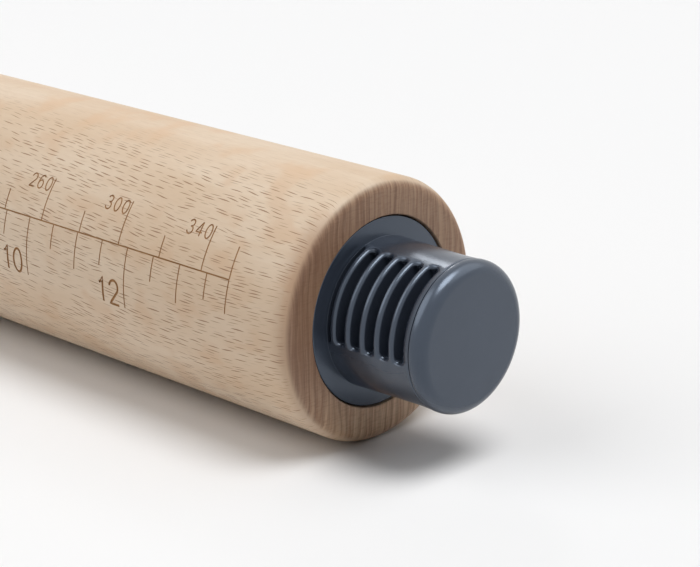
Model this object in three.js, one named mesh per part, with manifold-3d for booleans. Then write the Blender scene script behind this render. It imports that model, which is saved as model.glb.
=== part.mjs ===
// Adjustable rolling pin: a beech barrel with a pull-out, free-turning knob at each end.
// Millimetres, +Z up. The origin is the middle of the barrel, on its axis, and +X runs along it.
import * as THREE from 'three';
import { mergeVertices } from 'three/addons/utils/BufferGeometryUtils.js';
import Module from 'manifold-3d';

// Barrel
const BARREL_DIAMETER = 43.6;
const BARREL_LENGTH = 380;
const BARREL_EDGE_RADIUS = 2;

// Knob: a flange let into the barrel's end, a tapered stub and a push-in cap
const FLANGE_DIAMETER = 31.1;
const FLANGE_THICKNESS = 2.5;
const FLANGE_RECESS = 0.3;
const KNOB_DIAMETER = 24.6;
const STUB_LENGTH = 16.8;
const STUB_TAPER = 0.25;
const STUB_BASE_FILLET = 1;
const CAP_LIP = 0.15;
const CAP_THICKNESS = 2.5;
const CAP_RIM_RADIUS = 2.1;
const CAP_SPIGOT_LENGTH = 3;

// Grip: slots across two opposite sides of the stub, with ribs between them
const GRIP_SLOT_COUNT = 5;
const GRIP_SLOT_WIDTH = 2;
const GRIP_SLOT_LENGTH = 16;
const GRIP_RIB_WIDTH = 1;
const GRIP_FRONT_LAND = 1.2;
const GRIP_CORE_WALL = 1.6;
const GRIP_TURN_DEGREES = 30.5;

// Spindle, its bearing and its fastening
const SPINDLE_DIAMETER = 12;
const SPINDLE_LENGTH = 34;
const SPINDLE_CHAMFER = 1;
const JOURNAL_DIAMETER = 7;
const THRUST_WASHER_THICKNESS = 0.6;
const BUSH_WALL = 1.4;
const BUSH_FLANGE_WIDTH = 0.9;
const BUSH_FLANGE_THICKNESS = 1;
const BUSH_INSET = 0.5;
const SCREW_DIAMETER = 4;
const SCREW_LENGTH = 12;
const SCREW_HEAD_DIAMETER = 7;
const SCREW_HEAD_HEIGHT = 2.4;
const SCREW_SOCKET_WIDTH = 2.5;
const SCREW_SOCKET_DEPTH = 1.4;
const SCREW_WASHER_DIAMETER = 10;
const SCREW_WASHER_THICKNESS = 0.8;
const O_RING_SECTION = 2;
const O_RING_INSET = 7;

// Socket liner
const LINER_WALL = 2.6;
const LINER_FLANGE_THICKNESS = 2;

// Clearances: between turning rims, in the sliding fit, in the bearing, in glued and pressed fits,
// between stacked faces, and beyond the ends of what goes into a blind hole
const RIM_CLEARANCE = 0.3;
const SLIDING_CLEARANCE = 0.15;
const BEARING_CLEARANCE = 0.1;
const FIT_CLEARANCE = 0.15;
const FACE_GAP = 0.1;
const END_GAP = 0.6;

// Sides of the round pieces
const BARREL_SIDES = 48;
const KNOB_SIDES = 48;
const BORE_SIDES = 32;
const SMALL_SIDES = 24;
const O_RING_SECTION_SIDES = 6;
const ARC_STEPS = 3;
const SLOT_END_STEPS = 3;
const HEXAGON_SIDES = 6;

// Radii that follow from the sizes above
const barrelRadius = BARREL_DIAMETER / 2;
const flangeRadius = FLANGE_DIAMETER / 2;
const counterboreRadius = flangeRadius + RIM_CLEARANCE;
const capRadius = KNOB_DIAMETER / 2;
const stubTipRadius = capRadius - CAP_LIP;
const stubBaseRadius = stubTipRadius + STUB_TAPER;
const spindleRadius = SPINDLE_DIAMETER / 2;
const journalRadius = JOURNAL_DIAMETER / 2;
const linerBoreRadius = spindleRadius + SLIDING_CLEARANCE;
const linerRadius = linerBoreRadius + LINER_WALL;
const linerFlangeRadius = counterboreRadius - FIT_CLEARANCE;
const bushBoreRadius = journalRadius + BEARING_CLEARANCE;
const bushRadius = bushBoreRadius + BUSH_WALL;
const bushFlangeRadius = bushRadius + BUSH_FLANGE_WIDTH;
const screwRadius = SCREW_DIAMETER / 2;
const screwHeadRadius = SCREW_HEAD_DIAMETER / 2;
const screwWasherRadius = SCREW_WASHER_DIAMETER / 2;
const pocketRadius = Math.max(bushFlangeRadius, screwWasherRadius, screwHeadRadius) + FIT_CLEARANCE;
const oRingRadius = spindleRadius + SLIDING_CLEARANCE / 2;
const oRingCentreRadius = oRingRadius - O_RING_SECTION / 2;
const oRingGrooveRadius = oRingRadius - O_RING_SECTION - FIT_CLEARANCE;
const oRingGrooveHalf = O_RING_SECTION / 2 + FIT_CLEARANCE;

// Stations along the axis of one end, measured outwards from the barrel's end face
const flangeFront = -FLANGE_RECESS;
const flangeBack = flangeFront - FLANGE_THICKNESS;
const stubEnd = flangeFront + STUB_LENGTH;
const capBack = stubEnd + FACE_GAP;
const capFront = capBack + CAP_THICKNESS;
const spigotEnd = capBack - CAP_SPIGOT_LENGTH;
const screwHeadFront = spigotEnd - END_GAP;
const screwHeadBack = screwHeadFront - SCREW_HEAD_HEIGHT;
const screwWasherFront = screwHeadBack - FACE_GAP;
const screwWasherBack = screwWasherFront - SCREW_WASHER_THICKNESS;
const screwTip = screwHeadBack - SCREW_LENGTH;
const journalEnd = screwWasherBack - FACE_GAP;
const bushFront = journalEnd - FACE_GAP;
const bushFlangeBack = bushFront - BUSH_FLANGE_THICKNESS;
const pocketFloor = bushFlangeBack - FACE_GAP;
const bushBack = flangeBack + BUSH_INSET;
const thrustWasherFront = flangeBack - FACE_GAP;
const thrustWasherBack = thrustWasherFront - THRUST_WASHER_THICKNESS;
const shoulder = thrustWasherBack - FACE_GAP;
const spindleEnd = shoulder - SPINDLE_LENGTH;
const screwHoleFloor = screwTip - END_GAP;
const linerFront = flangeBack - RIM_CLEARANCE;
const linerFlangeBack = linerFront - LINER_FLANGE_THICKNESS;
const linerFloor = spindleEnd - END_GAP;
const linerEnd = linerFloor - LINER_WALL;
const counterboreFloor = linerFlangeBack - FACE_GAP;
const boreFloor = linerEnd - FIT_CLEARANCE;
const oRingStations = { outer: shoulder - O_RING_INSET, inner: spindleEnd + O_RING_INSET };

const wasm = await Module();
wasm.setup();

// A closed geometry as a solid that can be cut
function toSolid(geometry) {
  const bare = geometry.clone();
  bare.deleteAttribute('normal');
  bare.deleteAttribute('uv');
  const merged = mergeVertices(bare);
  const index = merged.index.array;
  const triangles = [];
  for (let i = 0; i < index.length; i += 3) {
    const [a, b, c] = [index[i], index[i + 1], index[i + 2]];
    if (a !== b && b !== c && c !== a) triangles.push(a, b, c);
  }
  return new wasm.Manifold(new wasm.Mesh({
    numProp: 3,
    vertProperties: Float32Array.from(merged.attributes.position.array),
    triVerts: Uint32Array.from(triangles),
  }));
}

function toGeometry(solid) {
  const mesh = solid.getMesh();
  const geometry = new THREE.BufferGeometry();
  geometry.setAttribute('position', new THREE.BufferAttribute(mesh.vertProperties, 3));
  geometry.setIndex(new THREE.BufferAttribute(mesh.triVerts, 1));
  geometry.computeVertexNormals();
  return geometry;
}

function cut(geometry, cutters) {
  let solid = toSolid(geometry);
  for (const cutter of cutters) solid = solid.subtract(toSolid(cutter));
  return toGeometry(solid);
}

// Points of a quarter arc, as [radius, station] pairs, from one angle to another about a centre
function arc(radius, station, size, from, to) {
  const points = [];
  for (let i = 0; i <= ARC_STEPS; i += 1) {
    const angle = THREE.MathUtils.degToRad(from + (to - from) * (i / ARC_STEPS));
    points.push([radius + size * Math.cos(angle), station + size * Math.sin(angle)]);
  }
  return points;
}

// A round piece about the X axis. The outline runs from the back to the front, outside first.
// Half a step of turn puts a flat side, and not a corner, at the top, bottom and sides.
function turned(outline, sides) {
  const points = outline.map(([radius, station]) => new THREE.Vector2(radius, station));
  const geometry = new THREE.LatheGeometry(points, sides, Math.PI / sides);
  return geometry.rotateZ(-Math.PI / 2);
}

// A tube or ring, whose outline closes on itself
function turnedRing(outline, sides) {
  return turned([...outline, outline[0]], sides);
}

function washer(innerRadius, outerRadius, back, front, sides) {
  const outline = [[innerRadius, back], [outerRadius, back], [outerRadius, front], [innerRadius, front]];
  return turnedRing(outline, sides);
}

// Barrel with a stepped blind bore at each end
function barrelGeometry() {
  const half = BARREL_LENGTH / 2;
  const edge = Math.min(BARREL_EDGE_RADIUS, barrelRadius - counterboreRadius);
  const rightEnd = [
    ...arc(barrelRadius - edge, half - edge, edge, 0, 90),
    [counterboreRadius, half],
    [counterboreRadius, half + counterboreFloor],
    [linerRadius + FIT_CLEARANCE, half + counterboreFloor],
    [linerRadius + FIT_CLEARANCE, half + boreFloor],
    [0, half + boreFloor],
  ];
  const leftEnd = rightEnd.map(([radius, station]) => [radius, -station]).reverse();
  return turned([...leftEnd, ...rightEnd], BARREL_SIDES);
}

function linerGeometry() {
  return turned([
    [0, linerEnd],
    [linerRadius, linerEnd],
    [linerRadius, linerFlangeBack],
    [linerFlangeRadius, linerFlangeBack],
    [linerFlangeRadius, linerFront],
    [linerBoreRadius, linerFront],
    [linerBoreRadius, linerFloor],
    [0, linerFloor],
  ], BORE_SIDES);
}

function spindleGeometry() {
  const groove = (station) => [
    [spindleRadius, station - oRingGrooveHalf],
    [oRingGrooveRadius, station - oRingGrooveHalf],
    [oRingGrooveRadius, station + oRingGrooveHalf],
    [spindleRadius, station + oRingGrooveHalf],
  ];
  return turned([
    [0, spindleEnd],
    [spindleRadius - SPINDLE_CHAMFER, spindleEnd],
    [spindleRadius, spindleEnd + SPINDLE_CHAMFER],
    ...groove(oRingStations.inner),
    ...groove(oRingStations.outer),
    [spindleRadius, shoulder],
    [journalRadius, shoulder],
    [journalRadius, journalEnd],
    [screwRadius + FIT_CLEARANCE, journalEnd],
    [screwRadius + FIT_CLEARANCE, screwHoleFloor],
    [0, screwHoleFloor],
  ], SMALL_SIDES);
}

function oRingGeometry(station) {
  const outline = [];
  for (let i = 0; i < O_RING_SECTION_SIDES; i += 1) {
    const angle = (2 * Math.PI * i) / O_RING_SECTION_SIDES;
    outline.push([
      oRingCentreRadius + (O_RING_SECTION / 2) * Math.cos(angle),
      station + (O_RING_SECTION / 2) * Math.sin(angle),
    ]);
  }
  return turnedRing(outline, SMALL_SIDES);
}

function bushGeometry() {
  return turnedRing([
    [bushBoreRadius, bushBack],
    [bushRadius, bushBack],
    [bushRadius, bushFlangeBack],
    [bushFlangeRadius, bushFlangeBack],
    [bushFlangeRadius, bushFront],
    [bushBoreRadius, bushFront],
  ], SMALL_SIDES);
}

// Pan-head screw with a hexagon socket
function screwGeometry() {
  const headEdge = SCREW_HEAD_HEIGHT / 3;
  const blank = turned([
    [0, screwTip],
    [screwRadius, screwTip],
    [screwRadius, screwHeadBack],
    [screwHeadRadius, screwHeadBack],
    [screwHeadRadius, screwHeadFront - headEdge],
    [screwHeadRadius - headEdge, screwHeadFront],
    [0, screwHeadFront],
  ], SMALL_SIDES);
  const socketRadius = SCREW_SOCKET_WIDTH / 2 / Math.cos(Math.PI / HEXAGON_SIDES);
  const socket = new THREE.CylinderGeometry(
    socketRadius, socketRadius, 2 * SCREW_SOCKET_DEPTH, HEXAGON_SIDES);
  socket.rotateZ(-Math.PI / 2);
  socket.translate(screwHeadFront, 0, 0);
  return cut(blank, [socket]);
}

// One grip slot on the -Y side: a long hole with round ends, from outside the stub in to its core
function slotCutter(back, front) {
  const width = front - back;
  const halfRun = (GRIP_SLOT_LENGTH - width) / 2;
  const outline = new THREE.Shape();
  outline.absarc(0, halfRun, width / 2, 0, Math.PI, false);
  outline.absarc(0, -halfRun, width / 2, Math.PI, 2 * Math.PI, false);
  outline.closePath();
  const depth = stubBaseRadius;
  const geometry = new THREE.ExtrudeGeometry(
    outline, { depth, bevelEnabled: false, curveSegments: SLOT_END_STEPS });
  geometry.rotateX(Math.PI / 2);
  const floor = pocketRadius + GRIP_CORE_WALL;
  return geometry.translate((back + front) / 2, -floor, 0);
}

// The slots count from the front of the stub, and each side has the same ones
function gripCutters() {
  const cutters = [];
  let front = stubEnd - GRIP_FRONT_LAND;
  for (let i = 0; i < GRIP_SLOT_COUNT; i += 1) {
    cutters.push(slotCutter(front - GRIP_SLOT_WIDTH, front));
    front -= GRIP_SLOT_WIDTH + GRIP_RIB_WIDTH;
  }
  const opposite = cutters.map((cutter) => cutter.clone().rotateX(Math.PI));
  return [...cutters, ...opposite];
}

function knobGeometry() {
  const fillet = Math.min(STUB_BASE_FILLET, flangeRadius - stubBaseRadius);
  const blank = turnedRing([
    [bushRadius + FIT_CLEARANCE, flangeBack],
    [flangeRadius, flangeBack],
    [flangeRadius, flangeFront],
    ...arc(stubBaseRadius + fillet, flangeFront + fillet, fillet, 270, 180),
    [stubTipRadius, stubEnd],
    [pocketRadius, stubEnd],
    [pocketRadius, pocketFloor],
    [bushRadius + FIT_CLEARANCE, pocketFloor],
  ], KNOB_SIDES);
  return cut(blank, gripCutters());
}

function capGeometry() {
  const rim = Math.min(CAP_RIM_RADIUS, CAP_THICKNESS);
  const spigotRadius = pocketRadius - FIT_CLEARANCE;
  return turned([
    [0, spigotEnd],
    [spigotRadius, spigotEnd],
    [spigotRadius, capBack],
    [capRadius, capBack],
    ...arc(capRadius - rim, capFront - rim, rim, 0, 90),
    [0, capFront],
  ], KNOB_SIDES);
}

const beech = new THREE.MeshStandardMaterial({ color: 0xd9b48c, roughness: 0.6, metalness: 0 });
const moulding = new THREE.MeshStandardMaterial({ color: 0x4a5763, roughness: 0.45, metalness: 0 });
const acetal = new THREE.MeshStandardMaterial({ color: 0xd8d6ce, roughness: 0.5, metalness: 0 });
const steel = new THREE.MeshStandardMaterial({ color: 0xb9bcc0, roughness: 0.3, metalness: 1 });
const rubber = new THREE.MeshStandardMaterial({ color: 0x1c1c1d, roughness: 0.8, metalness: 0 });

function named(name, geometry, material) {
  const mesh = new THREE.Mesh(geometry, material);
  mesh.name = name;
  return mesh;
}

// One end of the pin, with the barrel's end face at its origin and +X pointing outwards
function endGroup(side) {
  const knob = new THREE.Group();
  knob.add(
    named(`${side}_knob`, knobGeometry(), moulding),
    named(`${side}_knob_cap`, capGeometry(), moulding),
    named(`${side}_bearing_bush`, bushGeometry(), acetal),
  );
  knob.rotation.x = -THREE.MathUtils.degToRad(GRIP_TURN_DEGREES);

  const thrustWasher = washer(
    journalRadius + BEARING_CLEARANCE, spindleRadius, thrustWasherBack, thrustWasherFront, SMALL_SIDES);
  const screwWasher = washer(
    screwRadius + FIT_CLEARANCE, screwWasherRadius, screwWasherBack, screwWasherFront, SMALL_SIDES);
  const end = new THREE.Group();
  end.add(
    knob,
    named(`${side}_spindle`, spindleGeometry(), steel),
    named(`${side}_o_ring_outer`, oRingGeometry(oRingStations.outer), rubber),
    named(`${side}_o_ring_inner`, oRingGeometry(oRingStations.inner), rubber),
    named(`${side}_thrust_washer`, thrustWasher, acetal),
    named(`${side}_screw_washer`, screwWasher, steel),
    named(`${side}_retaining_screw`, screwGeometry(), steel),
    named(`${side}_socket_liner`, linerGeometry(), acetal),
  );
  return end;
}

const rollingPin = new THREE.Group();
rollingPin.add(named('barrel', barrelGeometry(), beech));

const rightEnd = endGroup('right');
rightEnd.position.x = BARREL_LENGTH / 2;
const leftEnd = endGroup('left');
leftEnd.position.x = -BARREL_LENGTH / 2;
leftEnd.rotation.z = Math.PI;
rollingPin.add(rightEnd, leftEnd);

export default rollingPin;
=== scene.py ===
"""Looks of the adjustable rolling pin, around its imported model. Metres, +Z up, +X along the barrel."""
import math

import bpy
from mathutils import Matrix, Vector


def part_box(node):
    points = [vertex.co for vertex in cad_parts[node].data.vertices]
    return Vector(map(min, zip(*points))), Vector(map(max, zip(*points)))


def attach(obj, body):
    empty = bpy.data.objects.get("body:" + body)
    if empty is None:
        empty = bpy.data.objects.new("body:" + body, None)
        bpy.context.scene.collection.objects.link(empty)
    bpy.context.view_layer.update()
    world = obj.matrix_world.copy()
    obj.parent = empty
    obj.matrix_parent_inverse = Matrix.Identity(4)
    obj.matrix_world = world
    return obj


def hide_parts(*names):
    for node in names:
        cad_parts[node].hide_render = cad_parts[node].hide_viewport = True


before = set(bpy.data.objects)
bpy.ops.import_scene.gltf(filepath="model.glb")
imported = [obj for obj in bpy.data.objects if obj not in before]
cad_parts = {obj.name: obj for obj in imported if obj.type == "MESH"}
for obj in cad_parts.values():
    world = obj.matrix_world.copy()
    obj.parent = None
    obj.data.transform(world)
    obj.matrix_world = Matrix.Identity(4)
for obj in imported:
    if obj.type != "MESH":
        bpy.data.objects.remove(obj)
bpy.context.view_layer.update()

MM = 0.001
FULL_TURN = 2 * math.pi
HALF_TURN = math.pi
MERGE_DISTANCE = 0.002 * MM
PICK_MARGIN = 0.01 * MM
FINE_MARGIN = 0.001 * MM
ARC_STEPS = 8
EDGE_STEPS = 3
SMOOTH_DEGREES = 32

# Barrel
BARREL_RADIUS = 21.8 * MM
BARREL_EDGE_RADIUS = 2 * MM
BARREL_RING_STEP = 10 * MM
BARREL_SIDES = 256
HALF_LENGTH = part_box("barrel")[1].x
COUNTERBORE_RADIUS = 15.76 * MM
COUNTERBORE_CHAMFER = 0.15 * MM
COUNTERBORE_FLOOR = -5.2 * MM
BORE_RADIUS = 8.9 * MM
BORE_FLOOR = -40.95 * MM

# Knob, with stations measured outwards from the barrel's end face
FLANGE_RADIUS = 15.55 * MM
FLANGE_FRONT = -0.3 * MM
FLANGE_BACK = -2.8 * MM
FLANGE_EDGE = 0.2 * MM
STUB_BASE_RADIUS = 12.4 * MM
STUB_TIP_RADIUS = 12.05 * MM
STUB_END = 16.5 * MM
STUB_FILLET = 0.05 * MM
STUB_STATIONS = (4, 8, 11, 12, 13, 14, 15, 15.8)
FLARE_START = 12 * MM
FLARE = 0.2 * MM
POCKET_RADIUS = 6.05 * MM
POCKET_FLOOR = 8.4 * MM
BUSH_HOLE_RADIUS = 5.15 * MM
CAP_RADIUS = 12.3 * MM
CAP_BACK = 16.6 * MM
CAP_FRONT = 19.1 * MM
CAP_RIM = 2.1 * MM
CAP_BACK_EDGE = 0.15 * MM
SPIGOT_RADIUS = 5.9 * MM
SPIGOT_END = 13.6 * MM
CAP_RIM_STEPS = 16
KNOB_SIDES = 192

# Grip slots: they are laid out flat, along the axis and along the arc, and rolled round the stub.
# Below their rims they go straight in, the way that a mould's core is drawn out.
SLOT_COUNT = 6
SLOT_WIDTH = 1.82 * MM
SLOT_PITCH = 3 * MM
FRONT_SLOT_MIDDLE = 14.2 * MM
SLOT_FLOOR = 7.65 * MM
SLOT_RIM = 0.57 * MM
SLOT_LOW = math.radians(-10)
SLOT_HIGH = math.radians(71)
SLOT_DRAW = (SLOT_LOW + SLOT_HIGH) / 2
FRONT_SLOT_HIGH = math.radians(72.5)
FRONT_LIP_STRETCH = 1.7
LOW_LIP_SQUASH = 0.35
BACK_SLOT_LIMIT = FLANGE_FRONT + 0.02 * MM
SLOT_BRIM = 0.12 * MM
SLOT_OVERHANG = 1.5 * MM
SLOT_END_STEPS = 16
SLOT_RUN_STEPS = 28
RIM_TOP_DEGREES = 105
RIM_STEPS = 6

# Spindle, seals and liner
SPINDLE_RADIUS = 6 * MM
SPINDLE_CHAMFER = 1 * MM
SPINDLE_SHOULDER = -3.6 * MM
SPINDLE_END = -37.6 * MM
JOURNAL_RADIUS = 3.5 * MM
JOURNAL_END = 9.6 * MM
SCREW_HOLE_RADIUS = 2.15 * MM
SCREW_HOLE_FLOOR = -2 * MM
O_RING_STATIONS = {"outer": -10.6 * MM, "inner": -30.6 * MM}
O_RING_SECTION = 1 * MM
O_RING_MIDDLE_RADIUS = 5.075 * MM
O_RING_GROOVE_RADIUS = 3.925 * MM
O_RING_GROOVE_HALF = 1.15 * MM
O_RING_STEPS = 20
LINER_RADIUS = 8.75 * MM
LINER_BORE_RADIUS = 6.15 * MM
LINER_FLANGE_RADIUS = 15.7 * MM
LINER_FRONT = -3.1 * MM
LINER_FLANGE_BACK = -5.1 * MM
LINER_FLOOR = -38.2 * MM
LINER_END = -40.8 * MM
LINER_LEAD_IN = 0.5 * MM
WASHER_RADIUS = 6 * MM
WASHER_HOLE_RADIUS = 3.6 * MM
WASHER_FRONT = -2.9 * MM
WASHER_BACK = -3.5 * MM
WASHER_EDGE = 0.12 * MM
TURNED_SIDES = 96

# Engraved scale: it reads doubled lengths outwards from the middle, with millimetres above its line
# and inches below. Figures are drawn in a box one high, and a width or advance is a share of the height.
SCALE_AZIMUTH = math.radians(19.1)
SCALE_LINE_WIDTH = 0.25 * MM
SCALE_END = 176.5 * MM
SCALE_CUT = 0.16 * MM
LABEL_RATIO = 2
MM_STEP = 20
MM_LAST = 340
MM_SHORT_TICK = 3.7 * MM
MM_TALL_TICK = 7.6 * MM
MM_FIGURE_HEIGHT = 2.4 * MM
MM_FIGURE_FOOT = 5.15 * MM
MM_FIGURE_GAP = 0.4 * MM
MM_FIGURE_STROKE = 0.27 * MM
MM_FIGURE_ADVANCE = 0.86
INCH = 25.4 * MM
INCH_HALF_STEPS = 27
INCH_HALF_TICK = 4.25 * MM
INCH_ODD_TICK = 6.35 * MM
INCH_EVEN_TICK = 10.3 * MM
INCH_FIGURE_HEIGHT = 4.2 * MM
INCH_FIGURE_FOOT = -10.25 * MM
INCH_FIGURE_GAP = 1.35 * MM
INCH_FIGURE_STROKE = 0.46 * MM
INCH_FIGURE_ADVANCE = 0.71
END_TICK = 5.45 * MM
TICK_STEPS = 10
TICK_START = 0.05 * MM
STROKE_STEP = 0.12
STROKE_LAYERS = 2
FIGURE_WIDTH = 0.6
BOW_STEPS = 24

# Beech, in millimetres: its grain runs down a little along the barrel, and up again near the right end.
# Cells are the sizes of a noise's cells along X, Y and Z. Pairs are the two ends of a ramp or a range.
BARREL_END = HALF_LENGTH / MM
BARREL_SURFACE = BARREL_RADIUS / MM
GRAIN_SLANT = 0.065
GRAIN_BEND = -0.0025
GRAIN_BEND_START = 150
GRAIN_BEND_HEIGHTS = (17, 0)
GRAIN_WAVER = 3
GRAIN_WAVER_CELLS = (70, 30, 16)
BROAD_CELLS = (48, 9, 11)
BROAD_RAMP = (0.3, 0.7)
BLOTCH_CELLS = (7.5, 9, 4.5)
BLOTCH_RAMP = (0.5, 0.72)
FIBRE_CELLS = (2.2, 0.16, 0.16)

# Flecks lie in rows one above the other, and each row has cells with one fleck in each.
# A fleck's sizes are shares of its row's height or its cell's length.
FLECK_ROW = 0.57
FLECK_CELL = 3.7
FLECK_SWAY = 0.8
FLECK_SWAY_CELLS = (7, 6, 2.5)
FLECK_ROW_SHIFT = 17
FLECK_HALF_LENGTHS = (0.2, 0.46)
FLECK_TILTS = (-0.15, 0.15)
FLECK_RISES = (-0.25, 0.25)
FLECK_BREADTHS = (0.06, 0.13)
FLECK_ROW_BREADTH = 0.05
FLECK_EDGE = (-0.05, 0.04)
FLECK_STRENGTHS = (0.05, 0.8)
FLECK_END_GAP = (0.5, 1.3)
BACK_ROWS = 500

# Growth rings, and what shows of them on the end grain
RING_WIDTH = 1.35
RING_WAVER = 3
RING_WAVER_CELLS = (55, 9, 18)
RING_UNEVEN = 2.6
RING_UNEVEN_CELLS = (400, 2.6, 45)
RING_POWER = 2.2
RING_EDGE = (0.86, 1)
STREAK_CELLS = (120, 0.42, 9)
RAY_CELLS = (9, 2, 0.3)
# Heartwood tone on the end grain, with painted shade towards the front and painted light low down
PAINTED_SHADE_WAVER = 12
PAINTED_SHADE_DEPTHS = (8, -12)
PAINTED_SHADE_HEIGHTS = (-18, -4)
PAINTED_LIGHT_FOOT = (-6, -20)
HEART_ALL_ROUND = 0.66
PAINTED_SHADE_IN_FRONT = 0.31
END_GRAIN_RAMP = (0.75, 0.05)
END_GRAIN_RAGGED = 0.2

# The side darkens towards the ends, and shows flakes in place of flecks at its top and bottom
DARKER_END_DEPTH = 6
DARKER_END_WAVER = 2.5
DARKER_END_FOOT = (-7, -2)
DARKER_END_AT_FOOT = 0.62
DARKER_END_TOP = (20, 15)
QUARTER_START = 0.87

# Colours of the beech: each layer lies over those before it, where its mask is strong
SIDE_DEEP = (0.63, 0.47, 0.322, 1)
SIDE_PALE = (0.71, 0.576, 0.437, 1)
SIDE_LAYERS = (
    {"mask": "Blotch", "share": 0.42, "shade": (0.58, 0.365, 0.21, 1)},
    {"mask": "Ring", "share": 0.16, "shade": (0.57, 0.38, 0.235, 1)},
    {"mask": "Fibre", "ramp": (0.35, 0.7), "share": 0.12, "shade": (0.55, 0.37, 0.23, 1)},
    # Darker towards the ends, less so low down and not at the top
    {"mask": "Darker end", "share": 0.66, "shade": (0.36, 0.2, 0.11, 1)},
)
FLECK_SHADE = (0.26, 0.13, 0.058, 1)
FLAKE_SHADE = (0.70, 0.47, 0.285, 1)
FLAKE_SHARE = 0.3
END_PALE = (0.62, 0.42, 0.265, 1)
END_DEEP = (0.38, 0.215, 0.122, 1)
END_STREAK_RAMP = (0.3, 0.7)
END_LAYERS = (
    {"mask": "Ring", "share": 0.45, "shade": (0.24, 0.125, 0.072, 1)},
    {"mask": "Ray", "ramp": (0.52, 0.7), "share": 0.35, "shade": (0.52, 0.37, 0.255, 1)},
    {"mask": "Ray", "ramp": (0.48, 0.34), "share": 0.25, "shade": (0.21, 0.115, 0.066, 1)},
    # Heartwood tone, with painted shade at the front and painted light low down
    {"mask": "Heart and painted light", "share": 0.8, "shade": (0.185, 0.089, 0.047, 1)},
    {"mask": "Ring", "share": 0.6, "shade": (0.62, 0.56, 0.52, 1), "blend": "MULTIPLY"},
    {"mask": "Streak", "ramp": (0.42, 0.66), "share": 0.4, "shade": (0.72, 0.66, 0.62, 1),
     "blend": "MULTIPLY"},
)
FIBRE_ROUGHNESS = 0.2
FIBRE_DEPTH = 0.5
BEECH_VALUES = {"Fleck share": 0.95, "Quarter loss": 0.8, "Roughness": 0.48}
BEECH_SPECULAR = 0.7
BEECH_BUMP = {"strength": 0.25, "distance": 0.05 * MM}
BURNT_PALE = (0.42, 0.235, 0.11, 1)
BURNT_DEEP = (0.31, 0.16, 0.068, 1)
BURNT_RAMP = (0.3, 0.75)
BURNT_FLECK_SHADE = (0.2, 0.1, 0.04, 1)
BURNT_VALUES = {"Fleck share": 0.5, "Quarter loss": 0.0, "Roughness": 0.7}
BURNT_SPECULAR = 0.2

# Moulded plastics and turned steel, with the scales of their noises for millimetres
CLOUD_SCALE = 0.09
CLOUD_RAMP = (0.3, 0.7)
TEXTURE_SCALE = 6
TEXTURE_ROUGHNESS = 0.06
TEXTURE_BUMP = 0.12
RUBBED_SCALE = 0.35
RUBBED_RAMP = (0.45, 0.75)
RUBBED_POLISH = -0.06
KNOB_VALUES = {"Deep": (0.0265, 0.033, 0.047, 1), "Pale": (0.0315, 0.039, 0.055, 1), "Roughness": 0.23}
NYLON_VALUES = {"Deep": (0.62, 0.60, 0.55, 1), "Pale": (0.70, 0.685, 0.64, 1), "Roughness": 0.45}
RUBBER_VALUES = {"Deep": (0.012, 0.012, 0.013, 1), "Pale": (0.022, 0.022, 0.023, 1), "Roughness": 0.62}
STEEL_DEEP = (0.56, 0.56, 0.57, 1)
STEEL_PALE = (0.66, 0.66, 0.665, 1)
STEEL_STAIN_SCALE = 0.25
STEEL_STAIN_RAMP = (0.35, 0.7)
STEEL_FEED_CELLS = (0.07, 9, 9)
STEEL_ROUGHNESS = (0.22, 0.38)
STEEL_BUMP = {"strength": 0.2, "distance": 0.02 * MM}

# Sockets of a mix node that mixes colours
MIX_SHARE = 0
MIX_FIRST = 6
MIX_SECOND = 7
MIX_RESULT = 2

# Camera, floor and light
IMAGE_SENSOR = 36
CAMERA_PLACE = (0.41062, -0.23770, 0.11256)
CAMERA_YAW = math.radians(133.786)
CAMERA_PITCH = math.radians(-18.397)
CAMERA_LENS = 111.06
CAMERA_CLIP_START = 0.01
FLOOR_SIZE = 6
FLOOR_SHADE = (0.903, 0.903, 0.906, 1)
FLOOR_ROUGHNESS = 0.9
AMBIENT_STRENGTH = 0.01
BACKDROP_STRENGTH = 0.95
BACKDROP_SHADE = (1, 1, 1, 1)
LAMPS = {
    "overhead_softbox": {"from": (0.3, 0.05, 1), "power": 1.95, "spread": 35},
    "right_back_softbox": {"from": (0.375, 0.535, 0.757), "power": 0.7, "spread": 54},
    "left_front_softbox": {"from": (-0.42, -0.62, 0.66), "power": 1.07, "spread": 50},
    "left_back_softbox": {"from": (-0.557, 0.321, 0.766), "power": 0.1, "spread": 36},
    "left_back_strip": {"from": (-0.66, 0.504, 0.554), "power": 0.14, "spread": 10},
}


# Tools

def deselect():
    bpy.ops.object.select_all(action="DESELECT")


def start_at(name, place):
    """A new mesh of one vertex, in edit mode, from which an outline is drawn."""
    deselect()
    bpy.ops.mesh.primitive_plane_add(size=MM)
    piece = bpy.context.object
    piece.name = name
    piece.data.name = name
    bpy.ops.object.mode_set(mode="EDIT")
    bpy.ops.mesh.merge(type="CENTER")
    bpy.ops.transform.translate(value=place)
    return piece


def draw(name, points):
    """Draws an outline by extruding one vertex from point to point, and stays in edit mode."""
    places = [Vector(point) for point in points]
    piece = start_at(name, places[0])
    for here, there in zip(places, places[1:]):
        bpy.ops.mesh.extrude_region_move(TRANSFORM_OT_translate={"value": there - here})
    return piece


def close_up(piece):
    """Merges the seams of a spun mesh, turns its faces outwards and leaves edit mode."""
    bpy.ops.mesh.select_all(action="SELECT")
    bpy.ops.mesh.remove_doubles(threshold=MERGE_DISTANCE)
    bpy.ops.mesh.normals_make_consistent(inside=False)
    bpy.ops.object.mode_set(mode="OBJECT")
    return piece


def turn(name, outline, sides):
    """A piece turned about X. The outline holds (radius, station) points."""
    piece = draw(name, [(station, 0, radius) for radius, station in outline])
    bpy.ops.mesh.select_all(action="SELECT")
    bpy.ops.mesh.spin(steps=sides, angle=FULL_TURN, center=(0, 0, 0), axis=(1, 0, 0))
    return close_up(piece)


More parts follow.
